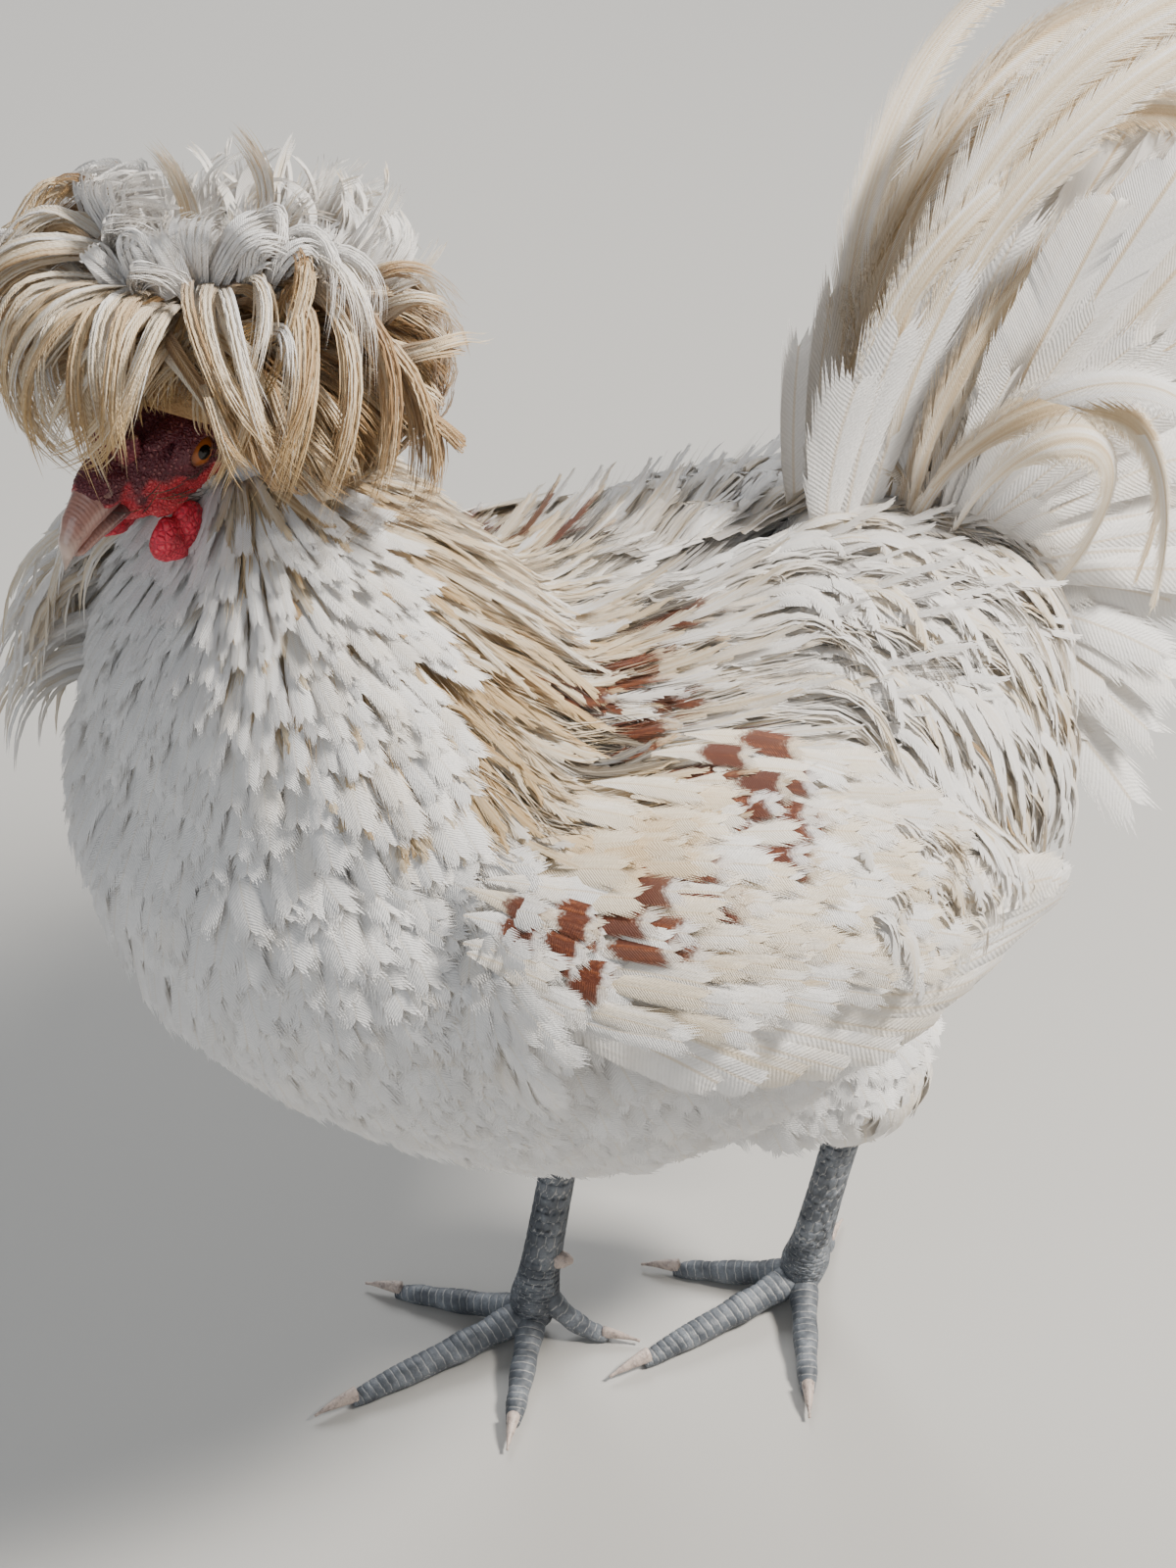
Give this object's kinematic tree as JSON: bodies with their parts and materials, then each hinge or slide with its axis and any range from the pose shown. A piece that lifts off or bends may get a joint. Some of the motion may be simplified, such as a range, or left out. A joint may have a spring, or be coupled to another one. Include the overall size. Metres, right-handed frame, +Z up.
{
  "type": "polish chicken",
  "caption": "Life-size standing model of a crested cockerel with a globe-shaped crest, small comb and wattles, hackles, folded wings and a tall sickle tail.",
  "frame": {"origin": "on the floor, below the centre of the whole bird's box", "axes": "+Z up; the bird faces -X, its left side is towards -Y"},
  "size_m": [0.463, 0.2264, 0.455],
  "materials": {
    "white_plumage": "soft white feathers, faintly cream",
    "buff_plumage": "soft cream and buff feathers",
    "red_skin": "bare red skin, finely pimpled, slightly moist",
    "bill_horn": "smooth pinkish horn with a soft gloss",
    "slate_scales": "slate-grey scaled skin, satin",
    "claw_horn": "pale worn horn",
    "eye": "wet orange-brown eye with a black pupil"
  },
  "bodies": {
    "root": {"torso": "white_plumage", "neck": "buff_plumage", "head": "red_skin", "eye_left": "eye", "eye_right": "eye", "bill_upper": "bill_horn", "bill_lower": "bill_horn", "comb": "red_skin", "wattle_left": "red_skin", "wattle_right": "red_skin", "crest": "buff_plumage", "wing_left": "white_plumage", "wing_right": "white_plumage", "tail": "white_plumage", "thigh_left": "white_plumage", "thigh_right": "white_plumage", "shank_left": "slate_scales", "shank_right": "slate_scales", "toe_left_middle": "slate_scales", "toe_left_inner": "slate_scales", "toe_left_outer": "slate_scales", "toe_left_hind": "slate_scales", "toe_right_middle": "slate_scales", "toe_right_inner": "slate_scales", "toe_right_outer": "slate_scales", "toe_right_hind": "slate_scales", "claw_left_middle": "claw_horn", "claw_left_inner": "claw_horn", "claw_left_outer": "claw_horn", "claw_left_hind": "claw_horn", "claw_right_middle": "claw_horn", "claw_right_inner": "claw_horn", "claw_right_outer": "claw_horn", "claw_right_hind": "claw_horn", "spur_left": "claw_horn", "spur_right": "claw_horn"}
  },
  "joints": []
}
